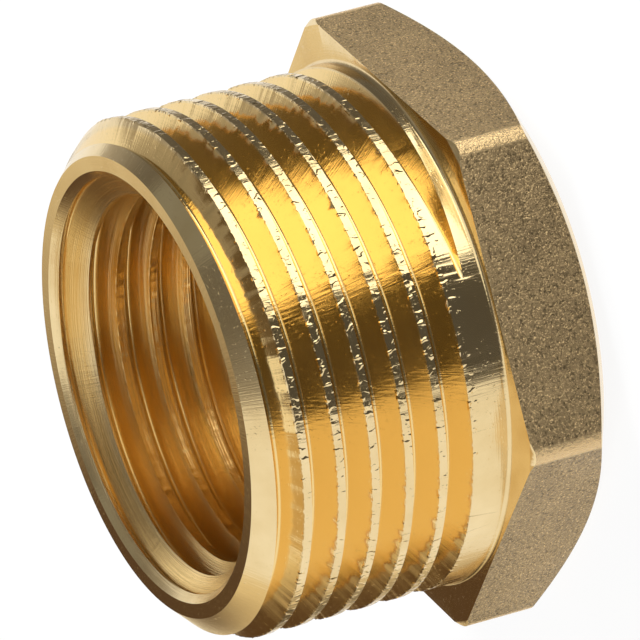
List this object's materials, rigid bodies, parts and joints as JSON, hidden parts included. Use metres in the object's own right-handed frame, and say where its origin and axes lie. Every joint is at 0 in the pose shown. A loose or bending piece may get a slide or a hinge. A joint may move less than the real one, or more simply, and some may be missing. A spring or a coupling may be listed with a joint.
{
  "type": "hex bushing",
  "caption": "Short hexagon-headed reducing bushing with a male pipe thread outside and a pipe thread bore right through it.",
  "frame": {"origin": "centre of the hexagon's flat back face, on the thread axis", "axes": "+Z along the thread axis from the hexagon towards the male thread's open end; +X towards a corner of the hexagon, +Y towards a flat"},
  "size_m": [0.0308, 0.0268, 0.0188],
  "materials": {
    "brass": "turned, with sand-blasted hexagon flats"
  },
  "bodies": {
    "root": {"hex_bushing": "brass"}
  },
  "joints": []
}
